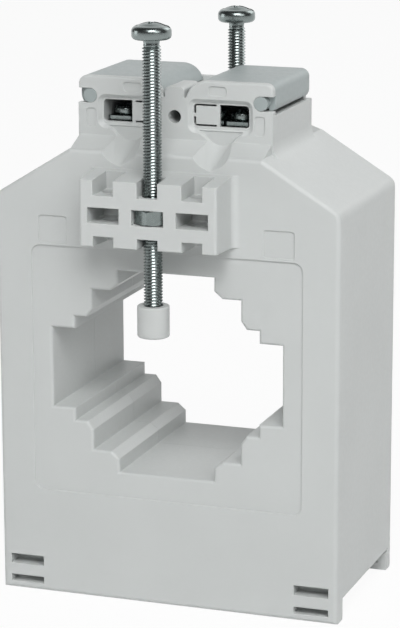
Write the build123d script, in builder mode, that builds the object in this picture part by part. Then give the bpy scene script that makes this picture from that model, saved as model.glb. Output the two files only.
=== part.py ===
from build123d import *
import math
import os

os.makedirs("parts", exist_ok=True)

# Case: millimetres, +X to the right seen from the front, the front towards -Y, base at Z 0
CASE_WIDTH = 95.0
CASE_DEPTH = 52.0
SHOULDER_Z = 109.6
TOP_Z = 122.5
SHOULDER_R = 3.0
BOTTOM_R = 1.5
EDGE_R = 1.2
FLOOR_Z = 4.9
FRONT_SKIRT = 5.2
REAR_SKIRT = 5.0
WALL = 2.2
FRONT_WALL = 2.6
COVER_RIM = 3.5
JOINT_GAP = 0.1
LAP_LENGTH = 1.5
LAP_WALL = 1.0

# Busbar window, a stepped opening through the whole depth
WINDOW_Z = 63.3
WINDOW_SIDE = 15.4
WINDOW_STEPS = (6.35, 5.05, 7.35)
WINDOW_HALF_HEIGHTS = (10.85, 14.25, 21.95, 27.5)
LOWER_BLEND = (1.6, 2.2)
UPPER_BLEND = (2.3, 1.9)
WINDOW_EDGE_R = 0.8
TUBE_WALL = 1.8
TUBE_SEAM_Y = 4.0
TUBE_LAP = 2.0

# Sunk panel and bare label pads on the front
PANEL_MARGIN = 5.5
PANEL_Z = (29.0, 96.4)
PANEL_R = 2.5
PANEL_STEP = 0.35
PAD_DEEP = 0.25
PAD_R = 0.8
LEFT_PAD_INSET = (12.1, 20.0)
RIGHT_PAD_INSET = (20.6, 12.2)
CASE_PAD_Z = (97.2, 104.4)
CHEEK_PAD_INSET = (4.9, 2.2)
CHEEK_PAD_Z = (127.2, 132.2)
COVER_PAD_X = (9.2, 14.2)
COVER_PAD_Z = (137.0, 139.4)

# Slots for mounting feet
FOOT_SLOT_INSET = (11.9, 2.4)
BLIND_SLOT_Z = (7.1, 9.8)
BLIND_SLOT_DEEP = 4.5
THROUGH_SLOT_Z = (2.0, 3.9)
SLOT_BOSS = 1.6

# Terminal head, laid out from the web between its two chambers to its outer cheeks
WEB_HALF = 4.5
FIRST_CLAMP = 4.35
CLAMP_PITCH = 7.35
WINDOW_PAST_CLAMP = 3.9
PIVOT_PAST_WINDOW = 3.4
CHEEK_PAST_PIVOT = 3.3
HEAD_OVERHANG = 0.3
HEAD_FRONT_Y = -18.0
HEAD_BACK_Y = 15.2
HEAD_FOOT_Z = 125.2
SLOPE_START = 24.5
HEAD_FILLET = 5.0
HEAD_TOP_Z = 136.1
HORN_TOP_Z = 137.3
HEAD_FRONT_WALL = 2.2
HEAD_BACK_WALL = 2.0
CHEEK_WALL = 2.0
CHEEK_TOP_Z = 132.4
CORNER_DEEP = 1.6
CHAMBER_FLOOR_Z = 125.5
RIB_HALF = 2.6
RIB_BACK_Y = -6.5
RIB_TOP_Z = 138.9
RIB_R = 1.2
SEAL_HOLE_Z = 131.05
SEAL_HOLE_R = 1.75
SEAL_HOLE_DEEP = 10.0

# Wire windows with one half still closed by its knock-out plate
RECESS_MARGIN = 0.25
RECESS_Z = (128.1, 134.95)
RECESS_DEEP = 1.0
RECESS_R = 1.2
RECESS_SLOPE = 47.0
OPENING_Z = (128.8, 134.6)
OPENING_R = 1.0
PLATE_HALF = 3.25
PLATE_Z = (129.3, 134.1)
PLATE_THICK = 0.9
BRIDGE = 0.9
INNER_FUNNEL_Z = (118.75, 123.4)
INNER_FUNNEL_R = (2.3, 4.5)
OUTER_FUNNEL_Z = (119.05, 124.6)
OUTER_FUNNEL_R = (4.9, 8.2)
FUNNEL_BACKING_Z = 118.0

# Terminal covers, hinged at their outer ends
PIVOT_Z = 135.5
TRUNNION_R = 1.85
TRUNNION_GAP = 0.07
COVER_TOP_Z = 140.7
COVER_BACK_Y = 13.0
COVER_SPLIT = 1.55
COVER_WALL = 1.8
COVER_IN_R = 5.8
COVER_OUT_R = 2.2
STRIP_EDGE_R = 0.6
LOBE_Z = 136.25
LOBE_STEP_Z = 137.55
SKIRT_TIP_Z = 133.6
SKIRT_SWEEP_R = 3.3
TROUGH_R = 3.5
HORN_R = 3.2
EAR_TOP_Z = 139.5
EAR_HALF = 1.93
SIDE_GAP = 0.1

# Terminal stacks
BAR_INSET = 0.7
BAR_Y = (-13.6, 11.0)
BAR_THICK = 1.8
BAR_LIFT = 0.05
CLAMP_Y = -10.5
CLAMP_Z = 129.0
CLAMP_THICK = 1.0
CLAMP_SPACE = 0.45
CLAMP_LONG = 9.0
CLAMP_R = 1.95
CLAMP_HEAD_R = 3.1
CLAMP_HEAD_T = 2.7
CLAMP_TIP_Z = 123.4
THREAD_GAP = 0.05
WELL_R = 2.4
WELL_Z = 121.6

# Brackets that hold the busbar screws
BRACKET_CHEEK = 2.25
BRACKET_PROUD = 12.6
BRACKET_Z = (99.8, 117.1)
BRACKET_ROOT_Z = (99.3, 118.1)
BRACKET_ROOT_R = 2.0
BRACKET_EDGE_R = 0.8
REAR_PROUD = 9.7
STATION_PITCH = 12.1
AXIS_SETBACK = 4.2
SIDE_SHIFT = 3.0
POCKET_WIDE = 8.7
POCKET_Z = (105.9, 110.0)
POCKET_PAST_AXIS = 4.7
NOTCH_WIDE = 5.6
TOP_NOTCH_Z = 113.1
LOW_NOTCH_Z = 102.5
BRACKET_HOLE_R = 2.75

# Busbar screws, nuts and insulating caps
SCREW_R = 2.45
SCREW_LONG = 75.0
NECK_R = 2.2
NECK_LONG = 2.0
HEAD_R = 5.1
HEAD_RIM = 2.8
HEAD_TALL = 4.4
FRONT_HEAD_Z = 153.3
REAR_HEAD_Z = 149.8
NUT_FLATS = 8.0
NUT_THICK = 3.9
NUT_Z = 106.0
CAP_R = 4.2
CAP_TALL = 8.3
CAP_END = 2.0

# Ring core and coil round the window
COIL_ROOM = 0.5
COIL_SIDE_GAP = 0.4
COIL_Y = (-23.1, 23.4)
COIL_WALL = 1.5
TRAY_WALL = 1.2
LID_THICK = 0.9
NEST_GAP = 0.05
COIL_OPENING = 20.0
LEAD_R = 0.75
LEAD_HOLE_R = 1.1
LEAD_X = (6.0, 12.5)
LEAD_Y = 4.0

HALF_WIDTH = CASE_WIDTH / 2
FOOT_SLOT_X = [HALF_WIDTH - inset for inset in FOOT_SLOT_INSET]
LEFT_PAD_X = [inset - HALF_WIDTH for inset in LEFT_PAD_INSET]
RIGHT_PAD_X = [HALF_WIDTH - inset for inset in RIGHT_PAD_INSET]
FRONT_Y = -CASE_DEPTH / 2
BACK_Y = CASE_DEPTH / 2
SEAM_Y = BACK_Y - COVER_RIM
FRONT_AXIS_Y = FRONT_Y - BRACKET_PROUD + AXIS_SETBACK
REAR_AXIS_Y = BACK_Y + REAR_PROUD - AXIS_SETBACK
STATIONS = (-STATION_PITCH, 0.0, STATION_PITCH)
BRACKET_HALF = STATION_PITCH + POCKET_WIDE / 2 + BRACKET_CHEEK
CLAMP_X = (WEB_HALF + FIRST_CLAMP, WEB_HALF + FIRST_CLAMP + CLAMP_PITCH)
CLAMP_WIDE = CLAMP_PITCH - CLAMP_SPACE
OPENING_X = (CLAMP_X[0] - WINDOW_PAST_CLAMP, CLAMP_X[1] + WINDOW_PAST_CLAMP)
RECESS_X = (OPENING_X[0] - RECESS_MARGIN, OPENING_X[1] + RECESS_MARGIN)
PLATE_X = (CLAMP_X[0] - PLATE_HALF, CLAMP_X[0] + PLATE_HALF)
FUNNEL_X = sum(OPENING_X) / 2
PIVOT_X = OPENING_X[1] + PIVOT_PAST_WINDOW
HEAD_HALF = PIVOT_X + CHEEK_PAST_PIVOT
TOP_HALF = HEAD_HALF - HEAD_OVERHANG
CHEEK_IN = HEAD_HALF - CHEEK_WALL
CORNER_X = HEAD_HALF - CORNER_DEEP
CHEEK_PAD_X = [HEAD_HALF - inset for inset in CHEEK_PAD_INSET]
EAR_X = (PIVOT_X - EAR_HALF, PIVOT_X + EAR_HALF)
COVER_IN_X = WEB_HALF - COVER_SPLIT
BAR_X = (WEB_HALF + BAR_INSET, OPENING_X[1] - BAR_INSET)
BAR_Z = CHAMBER_FLOOR_Z + BAR_LIFT


def at_y(y):
    """Plane facing the front at one depth, with X to the right and Z up."""
    return Plane.XZ.offset(-y)


def block(xs, ys, zs, mode=Mode.ADD):
    """Box between two values along each axis."""
    centre = [(span[0] + span[1]) / 2 for span in (xs, ys, zs)]
    size = [abs(span[1] - span[0]) for span in (xs, ys, zs)]
    with Locations(tuple(centre)):
        Box(*size, mode=mode)


def upright(x, y, z, radius, height, mode=Mode.ADD):
    """Vertical cylinder standing on z."""
    with Locations((x, y, z)):
        Cylinder(radius, height, align=(Align.CENTER, Align.CENTER, Align.MIN), mode=mode)


def along_y(x, z, radius, ys, mode=Mode.ADD):
    """Cylinder lying along Y between two depths."""
    with Locations(Location((x, ys[1], z), (90, 0, 0))):
        Cylinder(radius, ys[1] - ys[0], align=(Align.CENTER, Align.CENTER, Align.MIN), mode=mode)


def funnel(side, valley_z, sill_z, radii, reach=3.0):
    """Scoop that widens from the front plate's top edge up to a wire window."""
    run = HEAD_FRONT_Y - FRONT_Y
    rise = sill_z - valley_z
    length = math.hypot(run, rise)
    half_angle = math.atan2(radii[1] - radii[0], length)
    tilt = math.atan2(rise, run) + half_angle
    height = length * math.cos(half_angle) + 2 * reach
    narrow = radii[0] - reach * math.tan(half_angle)
    wide = narrow + height * math.tan(half_angle)
    low = (FRONT_Y - radii[0] * math.sin(tilt), valley_z + radii[0] * math.cos(tilt))
    base = (low[0] - reach * math.cos(tilt), low[1] - reach * math.sin(tilt))
    cone = Cone(narrow, wide, height, align=(Align.CENTER, Align.CENTER, Align.MIN), mode=Mode.PRIVATE)
    cone = Location((side * FUNNEL_X, base[0], base[1]), (math.degrees(tilt) - 90, 0, 0)) * cone
    reach_deep = HEAD_FRONT_Y + RECESS_DEEP - FRONT_Y + 10
    reach_tall = RECESS_Z[0] + 0.2 - BRACKET_ROOT_Z[1]
    low_back = (Align.CENTER, Align.MAX, Align.MIN)
    reachable = Box(2 * HEAD_HALF, reach_deep, reach_tall, align=low_back, mode=Mode.PRIVATE)
    reachable = Location((0, HEAD_FRONT_Y + RECESS_DEEP, BRACKET_ROOT_Z[1])) * reachable
    add(cone & reachable, mode=Mode.SUBTRACT)


def bracket_cuts(middle_y, outward, side_shift=0.0):
    """Nut pockets, screw holes and notches of a bracket whose open side faces outward."""
    beyond = middle_y + outward * 12
    for x in STATIONS:
        axis_y = middle_y - outward * (side_shift if x else 0.0)
        behind = axis_y - outward * BRACKET_HOLE_R
        pocket = (x - POCKET_WIDE / 2, x + POCKET_WIDE / 2)
        notch = (x - NOTCH_WIDE / 2, x + NOTCH_WIDE / 2)
        block(pocket, (axis_y - outward * POCKET_PAST_AXIS, beyond), POCKET_Z, Mode.SUBTRACT)
        upright(x, axis_y, LOW_NOTCH_Z - 0.1, BRACKET_HOLE_R, TOP_NOTCH_Z - LOW_NOTCH_Z + 0.2, Mode.SUBTRACT)
        block(notch, (behind, beyond), (TOP_NOTCH_Z, TOP_NOTCH_Z + 8), Mode.SUBTRACT)
        block(notch, (behind, beyond), (LOW_NOTCH_Z - 6, LOW_NOTCH_Z), Mode.SUBTRACT)


def label_pad(xs, zs, face_y):
    """Bare sunk pad, where a marking would be, on a face that looks to the front."""
    with BuildSketch(at_y(face_y + PAD_DEEP)) as pad:
        with Locations((sum(xs) / 2, sum(zs) / 2)):
            RectangleRounded(abs(xs[1] - xs[0]), zs[1] - zs[0], PAD_R)
    extrude(pad.sketch, amount=PAD_DEEP + 1, mode=Mode.SUBTRACT)


def cover_face(low_z):
    """Outline of the right terminal cover above one height, with both its upper corners rounded."""
    inner_mid = (COVER_IN_X + COVER_IN_R, COVER_TOP_Z - COVER_IN_R)
    outer_mid = (HEAD_HALF - COVER_OUT_R, COVER_TOP_Z - COVER_OUT_R)
    foot_x = inner_mid[0] - math.sqrt(COVER_IN_R**2 - (low_z - inner_mid[1]) ** 2)
    half_turn = (math.pi / 2 + math.atan2(low_z - inner_mid[1], inner_mid[0] - foot_x)) / 2
    with BuildLine() as outline:
        Line((inner_mid[0], COVER_TOP_Z), (outer_mid[0], COVER_TOP_Z))
        ThreePointArc(
            (outer_mid[0], COVER_TOP_Z),
            (outer_mid[0] + COVER_OUT_R * math.sqrt(0.5), outer_mid[1] + COVER_OUT_R * math.sqrt(0.5)),
            (HEAD_HALF, outer_mid[1]),
        )
        Polyline((HEAD_HALF, outer_mid[1]), (HEAD_HALF, low_z), (foot_x, low_z))
        ThreePointArc(
            (foot_x, low_z),
            (
                inner_mid[0] - COVER_IN_R * math.cos(half_turn),
                inner_mid[1] + COVER_IN_R * math.sin(half_turn),
            ),
            (inner_mid[0], COVER_TOP_Z),
        )
    make_face(outline.edges())


# Outlines shared by several pieces
with BuildSketch() as case_outline:
    with BuildLine():
        Polyline(
            (-HALF_WIDTH, FLOOR_Z),
            (HALF_WIDTH, FLOOR_Z),
            (HALF_WIDTH, SHOULDER_Z),
            (TOP_HALF, TOP_Z),
            (-TOP_HALF, TOP_Z),
            (-HALF_WIDTH, SHOULDER_Z),
            close=True,
        )
    make_face()
    fillet(case_outline.vertices().filter_by_position(Axis.Y, SHOULDER_Z - 1, SHOULDER_Z + 1), SHOULDER_R)
    fillet(case_outline.vertices().filter_by_position(Axis.Y, FLOOR_Z - 1, FLOOR_Z + 0.1), BOTTOM_R)

with BuildSketch() as inner_outline:
    add(case_outline.sketch)
    offset(amount=-WALL)

with BuildSketch() as lap_outline:
    add(case_outline.sketch)
    offset(amount=-(WALL - LAP_WALL))

with BuildSketch() as rebate_outline:
    add(case_outline.sketch)
    offset(amount=-(WALL - LAP_WALL - JOINT_GAP))

half_wide_0 = HALF_WIDTH - WINDOW_SIDE
half_wide_1 = half_wide_0 - WINDOW_STEPS[0]
half_wide_2 = half_wide_1 - WINDOW_STEPS[1]
half_wide_3 = half_wide_2 - WINDOW_STEPS[2]
half_tall_0, half_tall_1, half_tall_2, half_tall_3 = WINDOW_HALF_HEIGHTS
quarter = [
    (half_wide_0, half_tall_0),
    (half_wide_1, half_tall_0),
    (half_wide_1, half_tall_1),
    (half_wide_2 + LOWER_BLEND[0], half_tall_1),
    (half_wide_2, half_tall_1 + LOWER_BLEND[1]),
    (half_wide_2, half_tall_2),
    (half_wide_3 + UPPER_BLEND[0], half_tall_2),
    (half_wide_3, half_tall_2 + UPPER_BLEND[1]),
    (half_wide_3, half_tall_3),
]
COIL_IN_R = max(math.hypot(x, z) for x, z in quarter) + TUBE_WALL + COIL_ROOM
COIL_OUT_R = HALF_WIDTH - WALL - COIL_SIDE_GAP
window_points = quarter + [(-x, z) for x, z in reversed(quarter)]
window_points += [(-x, -z) for x, z in quarter] + [(x, -z) for x, z in reversed(quarter)]

with BuildSketch() as window_outline:
    with BuildLine():
        Polyline(*[(x, WINDOW_Z + z) for x, z in window_points], close=True)
    make_face()

with BuildSketch() as tube_outline:
    add(window_outline.sketch)
    offset(amount=TUBE_WALL)

with BuildSketch() as tongue_outline:
    add(window_outline.sketch)
    offset(amount=TUBE_WALL / 2)

with BuildSketch() as tube_rebate_outline:
    add(window_outline.sketch)
    offset(amount=TUBE_WALL / 2 + JOINT_GAP)

# Front wall before one terminal cover, which the case shell takes on both sides
with BuildPart() as front_strip:
    with BuildSketch(at_y(HEAD_FRONT_Y + HEAD_FRONT_WALL)):
        cover_face(HEAD_TOP_Z - STRIP_EDGE_R)
    extrude(amount=HEAD_FRONT_WALL)
    strip_edges = front_strip.faces().sort_by(Axis.Y)[0].edges()
    fillet(strip_edges.filter_by_position(Axis.Z, HEAD_TOP_Z, COVER_TOP_Z + 1), STRIP_EDGE_R)

# Case shell: front plate, sides, floor, shoulders, terminal head, bracket and front half of the tube
with BuildPart() as case_shell:
    with BuildSketch(at_y(SEAM_Y)):
        add(case_outline.sketch)
    extrude(amount=SEAM_Y - FRONT_Y)
    block((-HALF_WIDTH, HALF_WIDTH), (FRONT_Y, FRONT_Y + FRONT_SKIRT), (0, FLOOR_Z + BOTTOM_R + 1))
    fillet(case_shell.faces().sort_by(Axis.Y)[0].edges(), EDGE_R)
    with BuildSketch(Plane.YZ.offset(-TOP_HALF)):
        with BuildLine():
            Polyline(
                (-SLOPE_START, TOP_Z),
                (HEAD_FRONT_Y, HEAD_FOOT_Z),
                (HEAD_BACK_Y, HEAD_FOOT_Z),
                (SLOPE_START, TOP_Z),
                (SLOPE_START, TOP_Z - 3),
                (-SLOPE_START, TOP_Z - 3),
                close=True,
            )
        make_face()
    extrude(amount=2 * TOP_HALF)
    with BuildSketch(at_y(HEAD_BACK_Y)) as head_profile:
        with BuildLine():
            Polyline(
                (-HALF_WIDTH, SHOULDER_Z - 5),
                (HALF_WIDTH, SHOULDER_Z - 5),
                (HALF_WIDTH, SHOULDER_Z),
                (TOP_HALF, TOP_Z),
                (-TOP_HALF, TOP_Z),
                (-HALF_WIDTH, SHOULDER_Z),
                close=True,
            )
        make_face()
        with Locations((0, (SHOULDER_Z + HORN_TOP_Z) / 2)):
            Rectangle(2 * HEAD_HALF, HORN_TOP_Z - SHOULDER_Z)
        fillet(head_profile.vertices().filter_by_position(Axis.Y, TOP_Z - 1, TOP_Z + 1), HEAD_FILLET)
        shoulder_points = head_profile.vertices()
        shoulder_points = shoulder_points.filter_by_position(Axis.Y, SHOULDER_Z - 0.1, SHOULDER_Z + 0.1)
        fillet(shoulder_points, SHOULDER_R)
    extrude(amount=HEAD_BACK_Y - HEAD_FRONT_Y)
    block((-HALF_WIDTH, HALF_WIDTH), (SEAM_Y, BACK_Y), (TOP_Z - 5, TOP_Z + 5), Mode.SUBTRACT)

    # Front bracket
    with BuildSketch(Plane.YZ.offset(-BRACKET_HALF)):
        with BuildLine():
            Polyline(
                (FRONT_Y - BRACKET_PROUD, BRACKET_Z[0]),
                (FRONT_Y, BRACKET_ROOT_Z[0]),
                (FRONT_Y + 1, BRACKET_ROOT_Z[0]),
                (FRONT_Y + 1, BRACKET_ROOT_Z[1]),
                (FRONT_Y, BRACKET_ROOT_Z[1]),
                (FRONT_Y - BRACKET_PROUD, BRACKET_Z[1]),
                close=True,
            )
        make_face()
    extrude(amount=2 * BRACKET_HALF)
    upright_edges = case_shell.edges().filter_by(Axis.Z)
    bracket_uprights = upright_edges.filter_by_position(Axis.Z, BRACKET_Z[0], BRACKET_Z[1])
    fillet(bracket_uprights.filter_by_position(Axis.Y, FRONT_Y - 0.01, FRONT_Y + 0.01), BRACKET_ROOT_R)
    bracket_front = case_shell.faces().sort_by(Axis.Y)[0]
    fillet(bracket_front.edges().filter_by(Axis.Z), BRACKET_EDGE_R)
    bracket_cuts(FRONT_AXIS_Y, -1, SIDE_SHIFT)

    # Hollow interior, open at the back
    with BuildSketch(at_y(SEAM_Y)):
        add(inner_outline.sketch)
    extrude(amount=SEAM_Y - FRONT_Y - FRONT_WALL, mode=Mode.SUBTRACT)
    with BuildSketch(at_y(SEAM_Y)):
        add(rebate_outline.sketch)
    extrude(amount=LAP_LENGTH + JOINT_GAP, mode=Mode.SUBTRACT)
    backing_y = (FRONT_Y + FRONT_WALL - 0.5, HEAD_FRONT_Y + HEAD_FRONT_WALL)
    block((-RECESS_X[1], RECESS_X[1]), backing_y, (FUNNEL_BACKING_Z, TOP_Z - 1))

    # Window tube, front half
    with BuildSketch(at_y(TUBE_SEAM_Y + TUBE_LAP)):
        add(tube_outline.sketch)
    extrude(amount=TUBE_SEAM_Y + TUBE_LAP - FRONT_Y - 1)
    with BuildSketch(at_y(FRONT_Y + PANEL_STEP)):
        with Locations((0, sum(PANEL_Z) / 2)):
            RectangleRounded(2 * (half_wide_0 + PANEL_MARGIN), PANEL_Z[1] - PANEL_Z[0], PANEL_R)
    extrude(amount=PANEL_STEP + 1, mode=Mode.SUBTRACT)
    with BuildSketch(at_y(TUBE_SEAM_Y + TUBE_LAP)):
        add(window_outline.sketch)
    extrude(amount=TUBE_SEAM_Y + TUBE_LAP - FRONT_Y + 5, mode=Mode.SUBTRACT)
    panel_y = FRONT_Y + PANEL_STEP
    panel_edges = case_shell.edges().filter_by_position(Axis.Y, panel_y - 0.01, panel_y + 0.01)
    window_zone = panel_edges.filter_by_position(Axis.X, -half_wide_0 - 0.1, half_wide_0 + 0.1)
    window_edges = window_zone.filter_by_position(Axis.Z, PANEL_Z[0] + 1, PANEL_Z[1] - 1)
    fillet(window_edges, WINDOW_EDGE_R)
    with BuildSketch(at_y(TUBE_SEAM_Y + TUBE_LAP)):
        add(tube_rebate_outline.sketch)
    extrude(amount=TUBE_LAP, mode=Mode.SUBTRACT)

    # Foot slots
    for side in (-1, 1):
        slot = (side * FOOT_SLOT_X[0], side * FOOT_SLOT_X[1])
        boss = (side * (FOOT_SLOT_X[0] - SLOT_BOSS), side * (HALF_WIDTH - WALL + 0.5))
        boss_y = (FRONT_Y + 1, FRONT_Y + BLIND_SLOT_DEEP + SLOT_BOSS)
        block(boss, boss_y, (FLOOR_Z + 1, BLIND_SLOT_Z[1] + SLOT_BOSS))
        block(slot, (FRONT_Y - 1, FRONT_Y + BLIND_SLOT_DEEP), BLIND_SLOT_Z, Mode.SUBTRACT)
        block(slot, (FRONT_Y - 1, FRONT_Y + FRONT_SKIRT + 1), THROUGH_SLOT_Z, Mode.SUBTRACT)

    # Terminal chambers and the walls that carry the covers
    chamber_y = (HEAD_FRONT_Y + HEAD_FRONT_WALL, HEAD_BACK_Y - HEAD_BACK_WALL)
    horn_y = (HEAD_FRONT_Y - 1, chamber_y[1])
    block((-PIVOT_X, PIVOT_X), horn_y, (HEAD_TOP_Z, HORN_TOP_Z + 1), Mode.SUBTRACT)
    for side in (-1, 1):
        along_y(side * PIVOT_X, PIVOT_Z, HORN_R, (HEAD_FRONT_Y, chamber_y[0]))
        through_walls = (HEAD_FRONT_Y - 1, HEAD_BACK_Y + 1)
        past_cheek = side * (HEAD_HALF + 1)
        above_cheek = (CHEEK_TOP_Z, COVER_TOP_Z)
        block((0, past_cheek), (HEAD_FRONT_Y - 1, HEAD_BACK_Y), (HORN_TOP_Z, HORN_TOP_Z + 5), Mode.SUBTRACT)
    add(front_strip.part)
    mirror(front_strip.part, about=Plane.YZ)
    for side in (-1, 1):
        past_cheek = side * (HEAD_HALF + 1)
        chamber_x = (side * WEB_HALF, side * OPENING_X[1])
        block(chamber_x, chamber_y, (CHAMBER_FLOOR_Z, COVER_TOP_Z), Mode.SUBTRACT)
        block((side * PIVOT_X, past_cheek), chamber_y, above_cheek, Mode.SUBTRACT)
        block((side * CORNER_X, past_cheek), (chamber_y[0], HEAD_BACK_Y + 1), above_cheek, Mode.SUBTRACT)
        along_y(side * PIVOT_X, PIVOT_Z, TROUGH_R, chamber_y, Mode.SUBTRACT)
        block((side * (PIVOT_X - TROUGH_R), side * PIVOT_X), chamber_y, (PIVOT_Z, COVER_TOP_Z), Mode.SUBTRACT)
        bearing_r = TRUNNION_R + TRUNNION_GAP
        along_y(side * PIVOT_X, PIVOT_Z, bearing_r, through_walls, Mode.SUBTRACT)
        slot_z = (PIVOT_Z - bearing_r, PIVOT_Z + bearing_r)
        block((side * PIVOT_X, past_cheek), through_walls, slot_z, Mode.SUBTRACT)
        for x in CLAMP_X:
            upright(side * x, CLAMP_Y, WELL_Z, WELL_R, 5, Mode.SUBTRACT)
        upright(side * LEAD_X[1], LEAD_Y, TOP_Z - 5, LEAD_HOLE_R, 12, Mode.SUBTRACT)

    # Wire windows, knock-out plates and funnels
    for side in (-1, 1):
        with BuildSketch(at_y(HEAD_FRONT_Y + RECESS_DEEP)):
            with Locations((side * sum(RECESS_X) / 2, sum(RECESS_Z) / 2)):
                RectangleRounded(RECESS_X[1] - RECESS_X[0], RECESS_Z[1] - RECESS_Z[0], RECESS_R)
        extrude(amount=RECESS_DEEP + 0.05, taper=-RECESS_SLOPE, mode=Mode.SUBTRACT)
        with BuildSketch(at_y(chamber_y[0] + 0.5)):
            with Locations((side * sum(OPENING_X) / 2, sum(OPENING_Z) / 2)):
                RectangleRounded(OPENING_X[1] - OPENING_X[0], OPENING_Z[1] - OPENING_Z[0], OPENING_R)
        extrude(amount=3.5, mode=Mode.SUBTRACT)
        plate_y = (HEAD_FRONT_Y + RECESS_DEEP, HEAD_FRONT_Y + RECESS_DEEP + PLATE_THICK)
        block((side * PLATE_X[0], side * PLATE_X[1]), plate_y, PLATE_Z)
        bridge_z = (sum(PLATE_Z) / 2 - BRIDGE / 2, sum(PLATE_Z) / 2 + BRIDGE / 2)
        block((side * (OPENING_X[0] - 0.2), side * PLATE_X[1]), plate_y, bridge_z)
        divider_x = (side * (PLATE_X[1] - BRIDGE), side * PLATE_X[1])
        block(divider_x, plate_y, (OPENING_Z[0] - 0.2, OPENING_Z[1] + 0.2))
        funnel(side, *INNER_FUNNEL_Z, INNER_FUNNEL_R)
        funnel(side, *OUTER_FUNNEL_Z, OUTER_FUNNEL_R)
    with BuildSketch(at_y(RIB_BACK_Y)) as rib_profile:
        with Locations((0, (RIB_TOP_Z + SEAL_HOLE_Z) / 2)):
            Rectangle(2 * RIB_HALF, RIB_TOP_Z - SEAL_HOLE_Z)
        fillet(rib_profile.vertices().group_by(Axis.Y)[-1], RIB_R)
    extrude(amount=RIB_BACK_Y - HEAD_FRONT_Y)
    along_y(0, SEAL_HOLE_Z, SEAL_HOLE_R, (HEAD_FRONT_Y - 1, HEAD_FRONT_Y + SEAL_HOLE_DEEP), Mode.SUBTRACT)

    # Bare label pads
    label_pad(LEFT_PAD_X, CASE_PAD_Z, FRONT_Y)
    label_pad(RIGHT_PAD_X, CASE_PAD_Z, FRONT_Y)
    for side in (-1, 1):
        label_pad((side * CHEEK_PAD_X[0], side * CHEEK_PAD_X[1]), CHEEK_PAD_Z, HEAD_FRONT_Y)
        label_pad((side * COVER_PAD_X[0], side * COVER_PAD_X[1]), COVER_PAD_Z, HEAD_FRONT_Y)

case_shell.part.label = "case_shell"
export_step(case_shell.part, "parts/case_shell.step")

# Rear cover: back plate with rim, rear half of the tube, bracket and rear skirt
with BuildPart() as rear_cover:
    with BuildSketch(at_y(BACK_Y)):
        add(case_outline.sketch)
    extrude(amount=COVER_RIM)
    block((-HALF_WIDTH, HALF_WIDTH), (SEAM_Y, BACK_Y), (0, FLOOR_Z + BOTTOM_R + 1))
    fillet(rear_cover.faces().sort_by(Axis.Y)[-1].edges(), EDGE_R)
    slope_rate = (HEAD_FOOT_Z - TOP_Z) / (SLOPE_START - HEAD_BACK_Y)
    with BuildSketch(Plane.YZ.offset(-TOP_HALF)):
        with BuildLine():
            Polyline(
                (SEAM_Y, TOP_Z + slope_rate * (SLOPE_START - SEAM_Y)),
                (SLOPE_START, TOP_Z),
                (SLOPE_START, TOP_Z - 1),
                (SEAM_Y, TOP_Z - 1),
                close=True,
            )
        make_face()
    extrude(amount=2 * TOP_HALF)
    skirt_y = (BACK_Y - REAR_SKIRT, BACK_Y - COVER_RIM)
    block((-HALF_WIDTH, HALF_WIDTH), skirt_y, (0, FLOOR_Z - JOINT_GAP))

    # Rear bracket
    with BuildSketch(Plane.YZ.offset(-BRACKET_HALF)):
        with BuildLine():
            Polyline(
                (BACK_Y + REAR_PROUD, BRACKET_Z[0]),
                (BACK_Y, BRACKET_ROOT_Z[0]),
                (BACK_Y - 1, BRACKET_ROOT_Z[0]),
                (BACK_Y - 1, BRACKET_ROOT_Z[1]),
                (BACK_Y, BRACKET_ROOT_Z[1]),
                (BACK_Y + REAR_PROUD, BRACKET_Z[1]),
                close=True,
            )
        make_face()
    extrude(amount=2 * BRACKET_HALF)
    rear_uprights = rear_cover.edges().filter_by(Axis.Z)
    rear_uprights = rear_uprights.filter_by_position(Axis.Z, BRACKET_Z[0], BRACKET_Z[1])
    fillet(rear_uprights.filter_by_position(Axis.Y, BACK_Y - 0.01, BACK_Y + 0.01), BRACKET_ROOT_R)
    bracket_back = rear_cover.faces().sort_by(Axis.Y)[-1]
    fillet(bracket_back.edges().filter_by(Axis.Z), BRACKET_EDGE_R)
    bracket_cuts(REAR_AXIS_Y, 1)

    # Hollow inside face, tongue of the lap joint and rear half of the tube
    with BuildSketch(at_y(BACK_Y - WALL)):
        add(inner_outline.sketch)
    extrude(amount=COVER_RIM - WALL, mode=Mode.SUBTRACT)
    with BuildSketch(at_y(SEAM_Y + 0.5)):
        add(lap_outline.sketch)
        add(inner_outline.sketch, mode=Mode.SUBTRACT)
    extrude(amount=LAP_LENGTH + 0.5)
    with BuildSketch(at_y(BACK_Y - 1)):
        add(tube_outline.sketch)
    extrude(amount=BACK_Y - 1 - TUBE_SEAM_Y - TUBE_LAP - JOINT_GAP)
    with BuildSketch(at_y(BACK_Y - 1)):
        add(tongue_outline.sketch)
    extrude(amount=BACK_Y - 1 - TUBE_SEAM_Y - JOINT_GAP)
    with BuildSketch(at_y(BACK_Y + 5)):
        add(window_outline.sketch)
    extrude(amount=BACK_Y + 5, mode=Mode.SUBTRACT)
    for side in (-1, 1):
        slot = (side * FOOT_SLOT_X[0], side * FOOT_SLOT_X[1])
        block(slot, (BACK_Y - REAR_SKIRT - 1, BACK_Y + 1), THROUGH_SLOT_Z, Mode.SUBTRACT)

rear_cover.part.label = "rear_cover"
export_step(rear_cover.part, "parts/rear_cover.step")

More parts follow.
